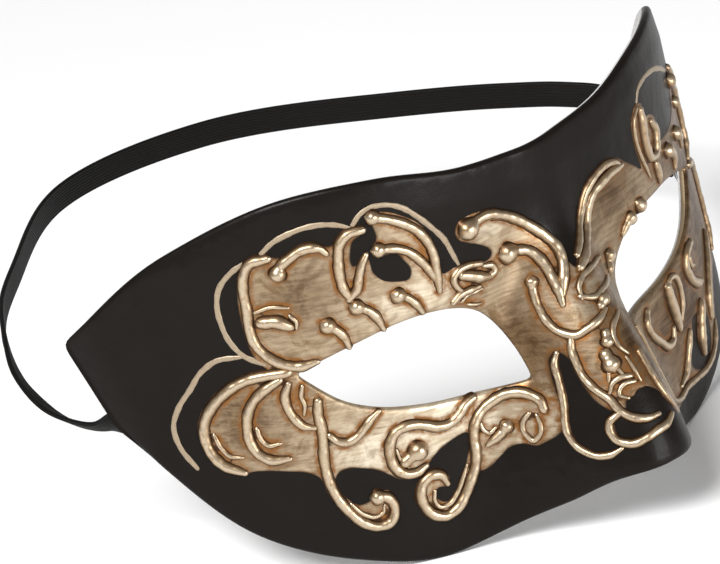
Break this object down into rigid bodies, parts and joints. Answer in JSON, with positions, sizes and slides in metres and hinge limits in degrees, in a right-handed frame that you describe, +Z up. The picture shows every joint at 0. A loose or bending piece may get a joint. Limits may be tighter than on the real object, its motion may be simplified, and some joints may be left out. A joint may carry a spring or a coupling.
{
  "type": "venetian masquerade half mask",
  "caption": "Half mask that wraps the brow, nose and temples, with piped scrollwork over champagne leaf and an elastic strap loop behind the head.",
  "frame": {"origin": "inside of the nose bridge at the height of the eyes, on the centre line of the mask", "axes": "+Z up, -Y is the way the mask looks, +Y towards the back of the head, +X to the right of someone looking at the mask"},
  "size_m": [0.1921, 0.1918, 0.0991],
  "materials": {
    "black_lacquer": "satin black lacquer over moulded papier mache, fine grain",
    "grey_lining": "matt light grey inner coat",
    "champagne_leaf": "brushed champagne metal leaf with brown patina",
    "piped_relief": "piped gesso under burnished champagne leaf, brown wax at the foot of each line",
    "gilt_line": "thin painted champagne line, semi matt",
    "pad_felt": "black felt pad",
    "black_elastic": "black braided elastic with fine lengthwise ribs"
  },
  "bodies": {
    "mask": {"anchor_pad_left": "pad_felt", "anchor_pad_right": "pad_felt", "bridge_drop": "piped_relief", "bridge_leaf_right": "piped_relief", "brow_curl_left": "piped_relief", "brow_petal_right": "piped_relief", "brow_scroll_left": "piped_relief", "cheek_bead_right": "piped_relief", "cheek_curl_right": "piped_relief", "cheek_drop_left": "piped_relief", "cheek_ear_left": "piped_relief", "cheek_petal_right": "piped_relief", "cheek_scroll_left": "piped_relief", "cheek_seed_left": "piped_relief", "cheek_seed_right": "piped_relief", "cheek_wave_left": "piped_relief", "fan_beads_left": "piped_relief", "fan_beads_right": "piped_relief", "garland_left": "piped_relief", "gilt_line_crest_left": "gilt_line", "gilt_line_fan_left": "gilt_line", "gilt_line_fan_right": "gilt_line", "gilt_line_petal_left": "gilt_line", "gilt_line_temple_left": "gilt_line", "gilt_line_temple_right": "gilt_line", "hem_bead_right": "piped_relief", "inner_lining": "grey_lining", "leaf_brow_left": "champagne_leaf", "leaf_brow_right": "champagne_leaf", "leaf_cheek_left": "champagne_leaf", "leaf_cheek_right": "champagne_leaf", "leaf_nose_left": "champagne_leaf", "leaf_nose_right": "champagne_leaf", "leaf_scroll_left": "champagne_leaf", "lid_commas_left": "piped_relief", "lid_commas_right": "piped_relief", "lid_drops_right": "piped_relief", "mask_shell": "black_lacquer", "nose_curl": "piped_relief", "nose_drops": "piped_relief", "nose_frame": "piped_relief", "petal_crest_left": "piped_relief", "petal_rim_left": "piped_relief", "side_bead_left": "piped_relief", "stem_left": "piped_relief", "stem_right": "piped_relief", "strap_end_left": "black_elastic", "strap_end_right": "black_elastic", "temple_crescent_left": "piped_relief", "temple_loop_left": "piped_relief", "temple_petal_left": "piped_relief", "temple_petal_right": "piped_relief", "v_bead_left": "piped_relief", "v_bead_right": "piped_relief"},
    "strap": {"elastic_strap": "black_elastic"}
  },
  "joints": [
    {"name": "strap_swing", "type": "hinge", "parent": "mask", "child": "strap", "pos_m": [0, 0.07, -0.01], "axis": [1, 0, 0], "range_deg": [-50, 35], "stiffness_Nm_per_rad": 0.02}
  ]
}
